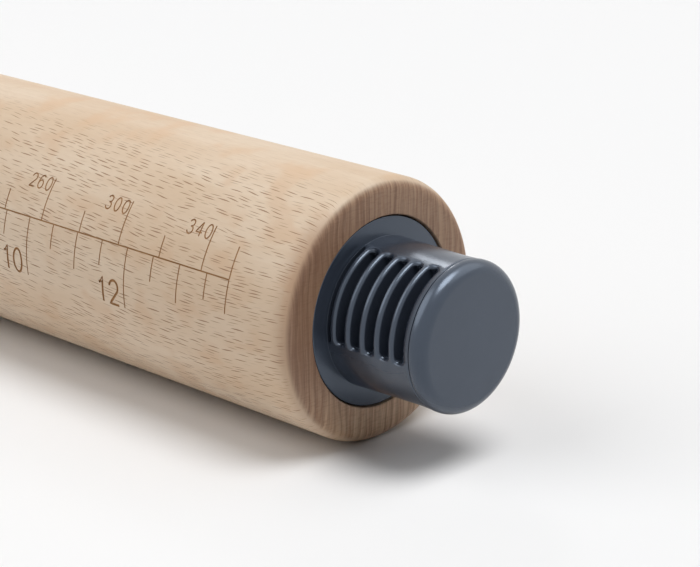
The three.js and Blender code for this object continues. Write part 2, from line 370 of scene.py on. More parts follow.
def arc(radius, station, size, start, end, steps=ARC_STEPS):
    """(radius, station) points of an arc about a centre, from one angle in degrees to another."""
    points = []
    for step in range(steps + 1):
        angle = math.radians(start + (end - start) * step / steps)
        points.append((radius + size * math.cos(angle), station + size * math.sin(angle)))
    return points


def activate(piece):
    deselect()
    piece.select_set(True)
    bpy.context.view_layer.objects.active = piece


def smooth(piece):
    activate(piece)
    bpy.ops.object.shade_smooth_by_angle(angle=math.radians(SMOOTH_DEGREES))


def apply_place(piece):
    activate(piece)
    bpy.ops.object.transform_apply(location=True, rotation=True, scale=True)


def join(pieces, name):
    deselect()
    for piece in pieces:
        piece.select_set(True)
    bpy.context.view_layer.objects.active = pieces[0]
    bpy.ops.object.join()
    joined = bpy.context.object
    joined.name = name
    joined.data.name = name
    return joined


def copy_of(piece, name):
    twin = piece.copy()
    twin.data = piece.data.copy()
    twin.name = name
    twin.data.name = name
    bpy.context.scene.collection.objects.link(twin)
    return twin


def cut(piece, cutter):
    """Cuts one mesh out of another and removes the cutter."""
    activate(piece)
    knife = piece.modifiers.new("cut", "BOOLEAN")
    knife.operation = "DIFFERENCE"
    knife.solver = "MANIFOLD"
    knife.object = cutter
    bpy.ops.object.modifier_apply(modifier=knife.name)
    bpy.data.objects.remove(cutter)


def roll(piece, azimuth):
    """Rolls a flat piece round the X axis: y is an angle above -Y, and z the distance from the axis."""
    for vertex in piece.data.vertices:
        station, angle, radius = vertex.co
        vertex.co = (station, -radius * math.cos(angle + azimuth), radius * math.sin(angle + azimuth))


def paint(piece, *materials):
    piece.data.materials.clear()
    for material in materials:
        piece.data.materials.append(material)


# Shapes

def barrel_outline():
    half_end = [
        (0, HALF_LENGTH + BORE_FLOOR),
        (BORE_RADIUS, HALF_LENGTH + BORE_FLOOR),
        (BORE_RADIUS, HALF_LENGTH + COUNTERBORE_FLOOR),
        (COUNTERBORE_RADIUS, HALF_LENGTH + COUNTERBORE_FLOOR),
        (COUNTERBORE_RADIUS, HALF_LENGTH - COUNTERBORE_CHAMFER),
        (COUNTERBORE_RADIUS + COUNTERBORE_CHAMFER, HALF_LENGTH),
    ]
    straight = HALF_LENGTH - BARREL_EDGE_RADIUS
    half_end += arc(BARREL_RADIUS - BARREL_EDGE_RADIUS, straight, BARREL_EDGE_RADIUS, 90, 0)
    rings = int(2 * straight / BARREL_RING_STEP)
    middle = [
        (BARREL_RADIUS, straight - 2 * straight * ring / rings) for ring in range(1, rings)]
    far_end = [(radius, -station) for radius, station in reversed(half_end)]
    return half_end + middle + far_end


def stub_radius(station):
    """The stub tapers, and flares a little just behind the cap."""
    share = max(0, min(1, station / STUB_END))
    flare_share = max(0, (station - FLARE_START) / (STUB_END - FLARE_START))
    return STUB_BASE_RADIUS + (STUB_TIP_RADIUS - STUB_BASE_RADIUS) * share + FLARE * flare_share ** 2


def knob_outline():
    outline = [(BUSH_HOLE_RADIUS, FLANGE_BACK)]
    rim = FLANGE_RADIUS - FLANGE_EDGE
    outline += arc(rim, FLANGE_BACK + FLANGE_EDGE, FLANGE_EDGE, -90, 0, EDGE_STEPS)
    outline += arc(rim, FLANGE_FRONT - FLANGE_EDGE, FLANGE_EDGE, 0, 90, EDGE_STEPS)
    outline += arc(STUB_BASE_RADIUS + STUB_FILLET, FLANGE_FRONT + STUB_FILLET, STUB_FILLET, 270, 180)
    outline += [(stub_radius(station * MM), station * MM) for station in STUB_STATIONS]
    tip = stub_radius(STUB_END) - CAP_BACK_EDGE
    outline += arc(tip, STUB_END - CAP_BACK_EDGE, CAP_BACK_EDGE, 0, 90, EDGE_STEPS)
    outline += [
        (POCKET_RADIUS, STUB_END),
        (POCKET_RADIUS, POCKET_FLOOR),
        (BUSH_HOLE_RADIUS, POCKET_FLOOR),
        (BUSH_HOLE_RADIUS, FLANGE_BACK),
    ]
    return outline


def cap_outline():
    outline = [(0, SPIGOT_END), (SPIGOT_RADIUS, SPIGOT_END), (SPIGOT_RADIUS, CAP_BACK)]
    outline += arc(
        CAP_RADIUS - CAP_BACK_EDGE, CAP_BACK + CAP_BACK_EDGE, CAP_BACK_EDGE, -90, 0, EDGE_STEPS)
    outline += arc(CAP_RADIUS - CAP_RIM, CAP_FRONT - CAP_RIM, CAP_RIM, 0, 90, CAP_RIM_STEPS)
    outline += [(CAP_RADIUS / 2, CAP_FRONT), (0, CAP_FRONT)]
    return outline


def slot_section(half_width, surface):
    """Half of a slot's section, as (offset, radius) points.
    They run from over the surface down the rim and the wall to the floor."""
    over = surface + SLOT_OVERHANG
    flare = arc(half_width + SLOT_RIM, surface - SLOT_RIM, SLOT_RIM, RIM_TOP_DEGREES, 180, RIM_STEPS)
    slope = math.tan(math.radians(RIM_TOP_DEGREES - 90))
    brim = (flare[0][0] + SLOT_BRIM / slope, flare[0][1] + SLOT_BRIM)
    return [(0, over), (brim[0], over), brim, *flare, (half_width, SLOT_FLOOR), (0, SLOT_FLOOR)]


def draw_in(piece, foot):
    """Rolls a slot round the stub, and carries its floor straight in from the foot of its rim."""
    for vertex in piece.data.vertices:
        station, angle, radius = vertex.co
        turned = angle - SLOT_DRAW
        deep = radius < SLOT_FLOOR + PICK_MARGIN
        reach = SLOT_FLOOR if deep else radius * math.cos(turned)
        rise = (foot if deep else radius) * math.sin(turned)
        vertex.co = (
            station,
            -reach * math.cos(SLOT_DRAW) + rise * math.sin(SLOT_DRAW),
            reach * math.sin(SLOT_DRAW) + rise * math.cos(SLOT_DRAW))


def select_where(piece, wanted):
    """Selects the vertices whose place is wanted, in the mesh that is in edit mode."""
    bpy.ops.mesh.select_all(action="DESELECT")
    bpy.ops.object.mode_set(mode="OBJECT")
    for vertex in piece.data.vertices:
        vertex.select = wanted(vertex.co)
    bpy.ops.object.mode_set(mode="EDIT")
    bpy.ops.mesh.select_mode(type="VERT")


def slot_cutter(name, middle, high, lip_stretch):
    """One slot with round ends, modelled flat and rolled round the stub."""
    surface = stub_radius(middle)
    half_width = SLOT_WIDTH / 2
    first = surface * SLOT_LOW + half_width
    last = surface * high - half_width
    section = slot_section(half_width, surface)
    piece = draw(name, [(middle + offset, first, radius) for offset, radius in section])
    bpy.ops.mesh.select_all(action="SELECT")
    bpy.ops.mesh.spin(
        steps=SLOT_END_STEPS, angle=HALF_TURN, center=(middle, first, 0), axis=(0, 0, 1))
    bpy.ops.mesh.select_all(action="SELECT")
    bpy.ops.mesh.remove_doubles(threshold=MERGE_DISTANCE)
    select_where(piece, lambda place: abs(place.y - first) < PICK_MARGIN)
    run = (last - first) / SLOT_RUN_STEPS
    for _ in range(SLOT_RUN_STEPS):
        bpy.ops.mesh.extrude_region_move(TRANSFORM_OT_translate={"value": (0, run, 0)})
    select_where(
        piece, lambda place: abs(place.y - last) < PICK_MARGIN and place.x > middle - PICK_MARGIN)
    bpy.ops.mesh.spin(
        steps=SLOT_END_STEPS, angle=-HALF_TURN, center=(middle, last, 0), axis=(0, 0, 1))

    # The lip is narrow at the slot's low end, and may be wide on the side of the cap
    low_edge = first - half_width
    select_where(piece, lambda place: place.y < low_edge - FINE_MARGIN)
    bpy.ops.transform.resize(value=(1, LOW_LIP_SQUASH, 1), center_override=(0, low_edge, 0))
    front_edge = middle + half_width
    select_where(piece, lambda place: place.x > front_edge + FINE_MARGIN)
    bpy.ops.transform.resize(value=(lip_stretch, 1, 1), center_override=(front_edge, 0, 0))
    close_up(piece)
    for vertex in piece.data.vertices:
        vertex.co.y /= surface
    draw_in(piece, surface - SLOT_RIM)
    return piece


def trim_at_flange(slot):
    """Takes off the part of the last slot that would go into the flange."""
    activate(slot)
    bpy.ops.object.mode_set(mode="EDIT")
    bpy.ops.mesh.select_all(action="SELECT")
    bpy.ops.mesh.bisect(
        plane_co=(BACK_SLOT_LIMIT, 0, 0), plane_no=(1, 0, 0), use_fill=True, clear_inner=True,
        threshold=FINE_MARGIN)
    close_up(slot)


def grip_cutter():
    """The slots of both sides of the stub as one mesh."""
    slots = []
    for index in range(SLOT_COUNT):
        front = index == 0
        slots.append(slot_cutter(
            f"slot_{index}", FRONT_SLOT_MIDDLE - SLOT_PITCH * index,
            FRONT_SLOT_HIGH if front else SLOT_HIGH, FRONT_LIP_STRETCH if front else 1.0))
    trim_at_flange(slots[-1])
    near_side = join(slots, "grip_slots")
    far_side = copy_of(near_side, "grip_slots_far")
    far_side.rotation_euler.x = HALF_TURN
    apply_place(far_side)
    return join([near_side, far_side], "grip_slots")


def spindle_outline():
    outline = [
        (0, SPINDLE_END),
        (SPINDLE_RADIUS - SPINDLE_CHAMFER, SPINDLE_END),
        (SPINDLE_RADIUS, SPINDLE_END + SPINDLE_CHAMFER),
    ]
    for station in (O_RING_STATIONS["inner"], O_RING_STATIONS["outer"]):
        outline += [
            (SPINDLE_RADIUS, station - O_RING_GROOVE_HALF),
            (O_RING_GROOVE_RADIUS, station - O_RING_GROOVE_HALF),
            (O_RING_GROOVE_RADIUS, station + O_RING_GROOVE_HALF),
            (SPINDLE_RADIUS, station + O_RING_GROOVE_HALF),
        ]
    outline += [
        (SPINDLE_RADIUS, SPINDLE_SHOULDER),
        (JOURNAL_RADIUS, SPINDLE_SHOULDER),
        (JOURNAL_RADIUS, JOURNAL_END),
        (SCREW_HOLE_RADIUS, JOURNAL_END),
        (SCREW_HOLE_RADIUS, SCREW_HOLE_FLOOR),
        (0, SCREW_HOLE_FLOOR),
    ]
    return outline


def o_ring_outline(station):
    return arc(O_RING_MIDDLE_RADIUS, station, O_RING_SECTION, 0, 360, O_RING_STEPS)


def liner_outline():
    return [
        (0, LINER_END),
        (LINER_RADIUS, LINER_END),
        (LINER_RADIUS, LINER_FLANGE_BACK),
        (LINER_FLANGE_RADIUS, LINER_FLANGE_BACK),
        (LINER_FLANGE_RADIUS, LINER_FRONT),
        (LINER_BORE_RADIUS + LINER_LEAD_IN, LINER_FRONT),
        (LINER_BORE_RADIUS, LINER_FRONT - LINER_LEAD_IN),
        (LINER_BORE_RADIUS, LINER_FLOOR),
        (0, LINER_FLOOR),
    ]


def washer_outline():
    return [
        (WASHER_HOLE_RADIUS, WASHER_BACK),
        (WASHER_RADIUS - WASHER_EDGE, WASHER_BACK),
        (WASHER_RADIUS, WASHER_BACK + WASHER_EDGE),
        (WASHER_RADIUS, WASHER_FRONT - WASHER_EDGE),
        (WASHER_RADIUS - WASHER_EDGE, WASHER_FRONT),
        (WASHER_HOLE_RADIUS, WASHER_FRONT),
        (WASHER_HOLE_RADIUS, WASHER_BACK),
    ]


# Engraved scale, laid out flat: x along the barrel, y up its side from the scale's line

def mark(station, foot, head, width=SCALE_LINE_WIDTH, steps=TICK_STEPS):
    deselect()
    bpy.ops.mesh.primitive_grid_add(
        x_subdivisions=1, y_subdivisions=steps, size=1, location=(station, (foot + head) / 2, 0))
    tick = bpy.context.object
    tick.scale = (width, abs(head - foot), 1)
    apply_place(tick)
    return tick


def bow(across, up, half_width, half_height, start, end):
    """Points of an oval arc, from one angle in degrees to another."""
    points = []
    for step in range(BOW_STEPS + 1):
        angle = math.radians(start + (end - start) * step / BOW_STEPS)
        points.append((across + half_width * math.cos(angle), up + half_height * math.sin(angle)))
    return points


def oval(across, up, half_width, half_height):
    return bow(across, up, half_width, half_height, 0, 360)


# Each figure is drawn in a box one high. Strokes that meet or cross are cut one after the other.
FIGURES = {
    "0": [oval(0.31, 0.5, 0.26, 0.5)],
    "1": [[(0.15, 0.76), (0.27, 0.83), (0.36, 1), (0.36, 0)]],
    "2": [[*bow(0.31, 0.71, 0.25, 0.29, 172, -32), (0.05, 0), (0.58, 0)]],
    "3": [bow(0.30, 0.76, 0.22, 0.24, 165, -98), bow(0.30, 0.27, 0.26, 0.27, 98, -165)],
    "4": [[(0.42, 1), (0.03, 0.27), (0.6, 0.27)], [(0.43, 1), (0.43, 0)]],
    "6": [oval(0.31, 0.31, 0.25, 0.31), bow(0.36, 0.45, 0.30, 0.55, 52, 196)],
    "8": [oval(0.31, 0.76, 0.21, 0.24), oval(0.31, 0.27, 0.26, 0.27)],
}


def fill_in(points):
    """Adds points to the long straight runs, so that they can be rolled."""
    filled = [points[0]]
    for (x0, y0), (x1, y1) in zip(points, points[1:]):
        steps = max(1, math.ceil(math.hypot(x1 - x0, y1 - y0) / STROKE_STEP))
        filled += [(x0 + (x1 - x0) * step / steps, y0 + (y1 - y0) * step / steps)
                   for step in range(1, steps + 1)]
    return filled


def write_number(layers, text, edge, foot, height, stroke, advance, side):
    """Puts the strokes of a number into the layers, with its outer end on an edge."""
    width = height * (advance * (len(text) - 1) + FIGURE_WIDTH)
    left = edge - width if side > 0 else edge
    for index, figure in enumerate(text):
        for layer, points in zip(layers, FIGURES[figure]):
            placed = [(left + height * (advance * index + x), foot + height * y)
                      for x, y in fill_in(points)]
            layer.append((placed, stroke))


def stroke_tubes(strokes, name):
    """Strokes as closed tubes, half of which go into the wood."""
    data = bpy.data.curves.new(name, "CURVE")
    data.dimensions = "3D"
    data.bevel_depth = 1
    data.bevel_resolution = 1
    data.use_fill_caps = True
    for points, width in strokes:
        looped = math.dist(points[0], points[-1]) < FINE_MARGIN
        points = points[:-1] if looped else points
        spline = data.splines.new("POLY")
        spline.points.add(len(points) - 1)
        for point, (x, y) in zip(spline.points, points):
            point.co = (x, y, 0, 1)
            point.radius = width / 2
        spline.use_cyclic_u = looped
    tubes = bpy.data.objects.new(name, data)
    bpy.context.scene.collection.objects.link(tubes)
    activate(tubes)
    bpy.ops.object.convert(target="MESH")
    return bpy.context.object


def scale_ticks():
    """Ticks of both halves of the scale, which start clear of its line."""
    ticks = [mark(0, TICK_START, MM_TALL_TICK), mark(0, -TICK_START, -INCH_EVEN_TICK)]
    for side in (1, -1):
        for label in range(MM_STEP, MM_LAST + 1, MM_STEP):
            numbered = label % (2 * MM_STEP) != 0
            station = side * label * MM / LABEL_RATIO
            ticks.append(mark(station, TICK_START, MM_TALL_TICK if numbered else MM_SHORT_TICK))
        for half in range(1, INCH_HALF_STEPS + 1):
            length = INCH_HALF_TICK
            if half % 2 == 0:
                length = INCH_EVEN_TICK if half % 4 == 0 else INCH_ODD_TICK
            ticks.append(mark(side * half * INCH / (2 * LABEL_RATIO), -TICK_START, -length))
        ticks.append(mark(side * SCALE_END, TICK_START, END_TICK))
        ticks.append(mark(side * SCALE_END, -TICK_START, -END_TICK))
    return ticks


def scale_numbers():
    """The strokes of all numbers, in layers that are cut one after the other."""
    layers = [[] for _ in range(STROKE_LAYERS)]
    for side in (1, -1):
        for label in range(MM_STEP, MM_LAST + 1, 2 * MM_STEP):
            edge = side * (label * MM / LABEL_RATIO - MM_FIGURE_GAP)
            write_number(layers, str(label), edge, MM_FIGURE_FOOT, MM_FIGURE_HEIGHT,
                         MM_FIGURE_STROKE, MM_FIGURE_ADVANCE, side)
        for inches in range(2, INCH_HALF_STEPS // 2 + 1, 2):
            edge = side * (inches * INCH / LABEL_RATIO - INCH_FIGURE_GAP)
            write_number(layers, str(inches), edge, INCH_FIGURE_FOOT, INCH_FIGURE_HEIGHT,
                         INCH_FIGURE_STROKE, INCH_FIGURE_ADVANCE, side)
    return layers


def thicken(sheet):
    activate(sheet)
    wall = sheet.modifiers.new("thickness", "SOLIDIFY")
    wall.thickness = SCALE_CUT
    wall.offset = 0
    bpy.ops.object.modifier_apply(modifier=wall.name)


def engrave(barrel, cutter, material):
    """Rolls flat marks on to the barrel's side and cuts them into it."""
    for vertex in cutter.data.vertices:
        vertex.co.y /= BARREL_RADIUS
        vertex.co.z += BARREL_RADIUS
    roll(cutter, SCALE_AZIMUTH)
    activate(cutter)
    bpy.ops.object.mode_set(mode="EDIT")
    close_up(cutter)
    paint(cutter, material, material)
    for face in cutter.data.polygons:
        face.material_index = 1
    cut(barrel, cutter)


# Materials

def add_node(tree, kind, inputs=None, **settings):
    node = tree.nodes.new(kind)
    for key, value in settings.items():
        setattr(node, key, value)
    for key, value in (inputs or {}).items():
        if isinstance(value, bpy.types.NodeSocket):
            tree.links.new(value, node.inputs[key])
        else:
            node.inputs[key].default_value = value
    return node


def calc(tree, operation, first, second=0.0, third=0.0):
    inputs = {0: first, 1: second}
    if operation == "MULTIPLY_ADD":
        inputs[2] = third
    return add_node(tree, "ShaderNodeMath", inputs, operation=operation).outputs[0]


def ramp_between(tree, value, low, high):
    """A smooth ramp, which is 0 at low and 1 at high."""
    return add_node(
        tree, "ShaderNodeMapRange", {"Value": value, "From Min": low, "From Max": high},
        interpolation_type="SMOOTHSTEP").outputs[0]


def spread(tree, value, low, high):
    """Takes a value of 0 to 1 to a range."""
    return calc(tree, "MULTIPLY_ADD", value, high - low, low)


def swing(tree, value, amount, middle):
    """Moves a middle value to either side by a noise."""
    return calc(tree, "MULTIPLY_ADD", calc(tree, "SUBTRACT", value, 0.5), amount, middle)


def mix_colour(tree, share, first, second, blend="MIX"):
    return add_node(
        tree, "ShaderNodeMix", {MIX_SHARE: share, MIX_FIRST: first, MIX_SECOND: second},
        data_type="RGBA", blend_type=blend, clamp_factor=True).outputs[MIX_RESULT]


def noise(tree, place, scale, detail=2.0, roughness=0.5):
    return add_node(
        tree, "ShaderNodeTexNoise",
        {"Vector": place, "Scale": scale, "Detail": detail, "Roughness": roughness}).outputs["Fac"]


def new_group(name, values):
    """A node group with an input for each of the values that a material gives it."""
    tree = bpy.data.node_groups.new(name, "ShaderNodeTree")
    for label, value in values.items():
        kind = "NodeSocketColor" if isinstance(value, tuple) else "NodeSocketFloat"
        tree.interface.new_socket(label, in_out="INPUT", socket_type=kind)
    return tree, tree.nodes.new("NodeGroupInput").outputs


def put_out(tree, results):
    """Gives a node group an output for each of its results."""
    for label, value in results.items():
        kind = "NodeSocketColor" if value.type == "RGBA" else "NodeSocketFloat"
        tree.interface.new_socket(label, in_out="OUTPUT", socket_type=kind)
    outputs = tree.nodes.new("NodeGroupOutput").inputs
    for label, value in results.items():
        tree.links.new(value, outputs[label])


def place_in_mm(tree):
    """Object coordinates in millimetres."""
    coordinates = add_node(tree, "ShaderNodeTexCoord").outputs["Object"]
    return add_node(
        tree, "ShaderNodeVectorMath", {0: coordinates, "Scale": 1 / MM}, operation="SCALE").outputs[0]


def cell_noise(tree, place, cells, detail=2.0, roughness=0.5):
    """Noise with cells of their own size along each axis."""
    stretched = add_node(
        tree, "ShaderNodeVectorMath", {0: place, 1: tuple(1 / size for size in cells)},
        operation="MULTIPLY").outputs[0]
    return noise(tree, stretched, 1.0, detail, roughness)


def split(tree, vector):
    return add_node(tree, "ShaderNodeSeparateXYZ", {0: vector}).outputs


def join_up(tree, x, y, z):
    return add_node(tree, "ShaderNodeCombineXYZ", {0: x, 1: y, 2: z}).outputs[0]


def grain_height(tree, place):
    """Height above the axis, bent so that lines of equal height follow the grain."""
    x, _, z = split(tree, place)
    drift = cell_noise(tree, place, GRAIN_WAVER_CELLS, detail=1.0)
    lift = calc(tree, "MULTIPLY", calc(tree, "SUBTRACT", drift, 0.5), GRAIN_WAVER)
    past = calc(tree, "MAXIMUM", calc(tree, "SUBTRACT", x, GRAIN_BEND_START), 0.0)
    low = calc(tree, "MULTIPLY", ramp_between(tree, z, *GRAIN_BEND_HEIGHTS), GRAIN_BEND)
    bend = calc(tree, "MULTIPLY", calc(tree, "MULTIPLY", past, past), low)
    slanted = calc(tree, "MULTIPLY_ADD", x, GRAIN_SLANT, z)
    return calc(tree, "ADD", slanted, calc(tree, "ADD", lift, bend))


def ray_flecks(tree, place, height):
    """Rays are thin plates along X and Y, seen end on as short dark flecks on the front and back.
    They lie in rows, and each has its own length, place, tilt and strength."""
    x, y, z = split(tree, place)
    sway = cell_noise(tree, place, FLECK_SWAY_CELLS, detail=1.0)
    angle = calc(tree, "ARCTAN2", z, calc(tree, "ABSOLUTE", y))
    level = calc(tree, "MULTIPLY_ADD", angle, BARREL_SURFACE, calc(tree, "SUBTRACT", height, z))
    rows = calc(tree, "DIVIDE", calc(tree, "MULTIPLY_ADD", sway, FLECK_SWAY, level), FLECK_ROW)
    back = calc(tree, "GREATER_THAN", y, 0.0)
    row = calc(tree, "MULTIPLY_ADD", back, BACK_ROWS, calc(tree, "FLOOR", rows))
    row_chance = add_node(
        tree, "ShaderNodeTexWhiteNoise", {"W": row}, noise_dimensions="1D").outputs["Value"]
    along = calc(
        tree, "MULTIPLY_ADD", row_chance, FLECK_ROW_SHIFT, calc(tree, "DIVIDE", x, FLECK_CELL))
    address = join_up(tree, calc(tree, "FLOOR", along), row, 0.0)
    chances = add_node(
        tree, "ShaderNodeTexWhiteNoise", {"Vector": address}, noise_dimensions="2D").outputs
    length_chance, shift_chance, lift_chance = split(tree, chances["Color"])

    # Place along the fleck from its own middle, and across it
    half = spread(tree, length_chance, *FLECK_HALF_LENGTHS)
    room = calc(tree, "SUBTRACT", 0.5, half)
    shift = calc(tree, "MULTIPLY", spread(tree, shift_chance, -1, 1), room)
    reach = calc(tree, "SUBTRACT", calc(tree, "SUBTRACT", calc(tree, "FRACT", along), 0.5), shift)
    tilt = calc(tree, "MULTIPLY", spread(tree, shift_chance, *FLECK_TILTS), reach)
    rise = spread(tree, lift_chance, *FLECK_RISES)
    across = calc(tree, "SUBTRACT", calc(tree, "SUBTRACT", calc(tree, "FRACT", rows), 0.5), rise)
    across = calc(tree, "ABSOLUTE", calc(tree, "ADD", across, tilt))

    # A fleck is thickest in its middle, and none runs over the rounded edge of the barrel
    share = calc(tree, "DIVIDE", reach, half)
    lens = calc(tree, "SUBTRACT", 1.0, calc(tree, "MULTIPLY", share, share))
    breadth = calc(
        tree, "MULTIPLY_ADD", row_chance, FLECK_ROW_BREADTH, spread(tree, lift_chance, *FLECK_BREADTHS))
    inside = calc(tree, "SUBTRACT", calc(tree, "MULTIPLY", lens, breadth), across)
    strength = ramp_between(tree, chances["Value"], *FLECK_STRENGTHS)
    fleck = calc(tree, "MULTIPLY", ramp_between(tree, inside, *FLECK_EDGE), strength)
    near_end, clear = (BARREL_END - gap for gap in FLECK_END_GAP)
    return calc(
        tree, "MULTIPLY", fleck, ramp_between(tree, calc(tree, "ABSOLUTE", x), near_end, clear))


def growth_ring(tree, depth):
    """Each ring darkens slowly through the year and ends at once."""
    phase = calc(tree, "FRACT", calc(tree, "DIVIDE", depth, RING_WIDTH))
    ring = calc(tree, "POWER", phase, RING_POWER)
    edge = ramp_between(tree, phase, *RING_EDGE)
    return calc(tree, "MULTIPLY", ring, calc(tree, "SUBTRACT", 1.0, edge))


def heartwood(tree, place, waver):
    """Heartwood tone all round, with painted shade towards the front where the knob's shadow falls; the
    tone fades low down as painted light from the floor.
    """
    _, y, z = split(tree, place)
    front = ramp_between(tree, calc(tree, "MULTIPLY_ADD", waver, PAINTED_SHADE_WAVER, y), *PAINTED_SHADE_DEPTHS)
    front = calc(tree, "MULTIPLY", front, ramp_between(tree, z, *PAINTED_SHADE_HEIGHTS))
    foot = ramp_between(tree, z, *PAINTED_LIGHT_FOOT)
    all_round = calc(tree, "MULTIPLY_ADD", foot, -HEART_ALL_ROUND, HEART_ALL_ROUND)
    return calc(tree, "MULTIPLY_ADD", front, PAINTED_SHADE_IN_FRONT, all_round)


def soaked_end(tree, place, broad):
    """The side is darker towards the ends, less so low down and not at the top."""
    x, _, z = split(tree, place)
    reach = swing(tree, broad, DARKER_END_WAVER, calc(tree, "ABSOLUTE", x))
    reach = ramp_between(tree, reach, BARREL_END - DARKER_END_DEPTH, BARREL_END)
    below = spread(tree, ramp_between(tree, z, *DARKER_END_FOOT), DARKER_END_AT_FOOT, 1)
    above = ramp_between(tree, z, *DARKER_END_TOP)
    return calc(
        tree, "MULTIPLY", calc(tree, "MULTIPLY", reach, reach), calc(tree, "MULTIPLY", below, above))


def beech_figure_group():
    """Beech with its grain along X and its growth rings stacked along Y."""
    tree, own = new_group("beech_figure", BEECH_VALUES)
    place = place_in_mm(tree)
    x, y, z = split(tree, place)
    height = grain_height(tree, place)
    grain = join_up(tree, x, y, height)
    waver = cell_noise(tree, place, RING_WAVER_CELLS)
    uneven = cell_noise(tree, place, RING_UNEVEN_CELLS)
    depth = calc(tree, "ADD", y, calc(tree, "MULTIPLY", waver, RING_WAVER))
    depth = calc(tree, "ADD", depth, calc(tree, "MULTIPLY", uneven, RING_UNEVEN))
    streak = cell_noise(tree, join_up(tree, x, depth, z), STREAK_CELLS, detail=3.0, roughness=0.6)
    broad = cell_noise(tree, place, BROAD_CELLS, detail=3.0)
    ragged = swing(tree, streak, END_GRAIN_RAGGED, calc(tree, "ABSOLUTE", x))
    side_end, face = (BARREL_END - gap for gap in END_GRAIN_RAMP)
    fibre = cell_noise(tree, grain, FIBRE_CELLS)
    fleck = ray_flecks(tree, place, height)
    quarter = ramp_between(
        tree, calc(tree, "ABSOLUTE", z), QUARTER_START * BARREL_SURFACE, BARREL_SURFACE)
    loss = calc(tree, "MULTIPLY", quarter, own["Quarter loss"])
    fleck_share = calc(tree, "SUBTRACT", own["Fleck share"], loss)
    put_out(tree, {
        "Fleck": fleck,
        "Fleck tone": calc(tree, "MULTIPLY", fleck, fleck_share),
        "Ring": growth_ring(tree, depth),
        "Broad": broad,
        "Fibre": fibre,
        "Blotch": ramp_between(tree, cell_noise(tree, grain, BLOTCH_CELLS), *BLOTCH_RAMP),
        "Streak": streak,
        "Ray": cell_noise(tree, place, RAY_CELLS, detail=1.5),
        "Heart and painted light": heartwood(tree, place, waver),
        "End grain": ramp_between(tree, ragged, side_end, face),
        "Darker end": soaked_end(tree, place, broad),
        "Quarter": quarter,
        "Roughness": calc(tree, "MULTIPLY_ADD", fibre, FIBRE_ROUGHNESS, own["Roughness"]),
    })
    return tree


def new_material(name, **sockets):
    """A material with its tree and Principled shader, whose sockets take the values that are the same
    all over."""
    material = bpy.data.materials.new(name)
    material.use_nodes = True
    shader = material.node_tree.nodes["Principled BSDF"]
    for label, value in sockets.items():
        shader.inputs[label.replace("_", " ")].default_value = value
    return material, material.node_tree, shader


def connect(tree, shader, **sockets):
    for label, value in sockets.items():
        tree.links.new(value, shader.inputs[label.replace("_", " ")])


def bump(tree, height, strength, distance):
    return add_node(
        tree, "ShaderNodeBump", {"Height": height, "Strength": strength, "Distance": distance}).outputs[0]


def add_layer(tree, colour, masks, mask, share, shade, ramp=None, blend="MIX"):
    """Lays a shade over a colour where a mask is strong."""
    strength = masks[mask]
    if ramp:
        strength = ramp_between(tree, strength, *ramp)
    return mix_colour(tree, calc(tree, "MULTIPLY", strength, share), colour, shade, blend)


def beech_material(figure):
    material, tree, shader = new_material("beech", Specular_IOR_Level=BEECH_SPECULAR)
    masks = add_node(tree, "ShaderNodeGroup", BEECH_VALUES, node_tree=figure).outputs
    side = mix_colour(tree, ramp_between(tree, masks["Broad"], *BROAD_RAMP), SIDE_DEEP, SIDE_PALE)
    for layer in SIDE_LAYERS:
        side = add_layer(tree, side, masks, **layer)
    side = mix_colour(tree, masks["Fleck tone"], side, FLECK_SHADE)
    flake = calc(tree, "MULTIPLY", masks["Blotch"], masks["Quarter"])
    side = mix_colour(tree, calc(tree, "MULTIPLY", flake, FLAKE_SHARE), side, FLAKE_SHADE)
    end = mix_colour(tree, ramp_between(tree, masks["Streak"], *END_STREAK_RAMP), END_PALE, END_DEEP)
    for layer in END_LAYERS:
        end = add_layer(tree, end, masks, **layer)
    colour = mix_colour(tree, masks["End grain"], side, end)
    hollow = calc(tree, "ADD", masks["Fleck"], calc(tree, "MULTIPLY", masks["Fibre"], FIBRE_DEPTH))
    connect(tree, shader, Base_Color=colour, Roughness=masks["Roughness"],
            Normal=bump(tree, calc(tree, "SUBTRACT", 1.0, hollow), **BEECH_BUMP))
    return material


def burnt_material(figure):
    material, tree, shader = new_material("burnt_scale", Specular_IOR_Level=BURNT_SPECULAR)
    masks = add_node(tree, "ShaderNodeGroup", BURNT_VALUES, node_tree=figure).outputs
    colour = mix_colour(tree, ramp_between(tree, masks["Fibre"], *BURNT_RAMP), BURNT_PALE, BURNT_DEEP)
    colour = mix_colour(tree, masks["Fleck tone"], colour, BURNT_FLECK_SHADE)
    connect(tree, shader, Base_Color=colour, Roughness=masks["Roughness"])
    return material


def moulded_group():
    """Faint clouding, handling marks and fine texture of a moulded surface."""
    tree, own = new_group("moulded_surface", KNOB_VALUES)
    place = place_in_mm(tree)
    cloud = ramp_between(tree, noise(tree, place, CLOUD_SCALE, detail=3.0), *CLOUD_RAMP)
    texture = noise(tree, place, TEXTURE_SCALE, roughness=0.6)
    rubbed = noise(tree, place, RUBBED_SCALE, detail=4.0, roughness=0.65)
    rubbed = ramp_between(tree, rubbed, *RUBBED_RAMP)
    rough = calc(tree, "MULTIPLY_ADD", rubbed, RUBBED_POLISH, own["Roughness"])
    put_out(tree, {
        "Colour": mix_colour(tree, cloud, own["Deep"], own["Pale"]),
        "Roughness": calc(tree, "MULTIPLY_ADD", texture, TEXTURE_ROUGHNESS, rough),
        "Texture": texture,
    })
    return tree


def moulded_material(name, moulded, values, texture_depth, **sockets):
    material, tree, shader = new_material(name, **sockets)
    surface = add_node(tree, "ShaderNodeGroup", values, node_tree=moulded).outputs
    connect(tree, shader, Base_Color=surface["Colour"], Roughness=surface["Roughness"],
            Normal=bump(tree, surface["Texture"], TEXTURE_BUMP, texture_depth))
    return material


